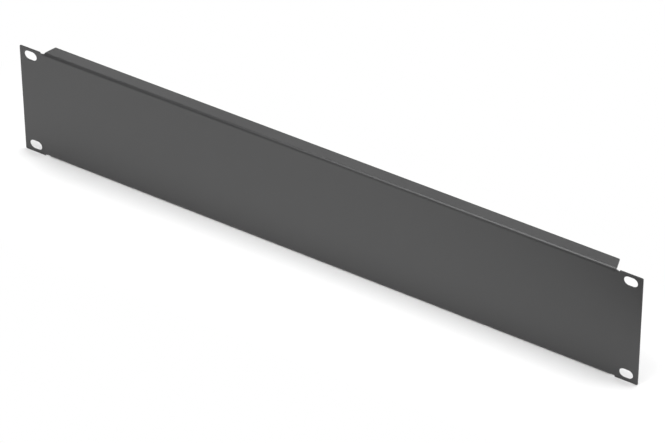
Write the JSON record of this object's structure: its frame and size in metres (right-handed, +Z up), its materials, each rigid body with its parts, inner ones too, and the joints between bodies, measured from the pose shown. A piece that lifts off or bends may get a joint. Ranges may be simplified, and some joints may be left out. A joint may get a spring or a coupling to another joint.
{
  "type": "rack blanking panel",
  "caption": "Flat folded-steel panel that covers an empty space in a server rack, with slotted ears at its ends and a shallow flange turned back along its top and bottom edges.",
  "frame": {"origin": "centre of the four slots, on the back of the sheet, the face that the ears press against the rack's rails", "axes": "+X along the panel, +Y into the rack (the way the flanges point), +Z up; the panel is symmetric left to right and top to bottom"},
  "size_m": [0.4826, 0.0107, 0.0882],
  "materials": {
    "powder_coat": "fine-textured matt powder coat, dark grey"
  },
  "bodies": {
    "root": {"blanking_panel": "powder_coat"}
  },
  "joints": []
}
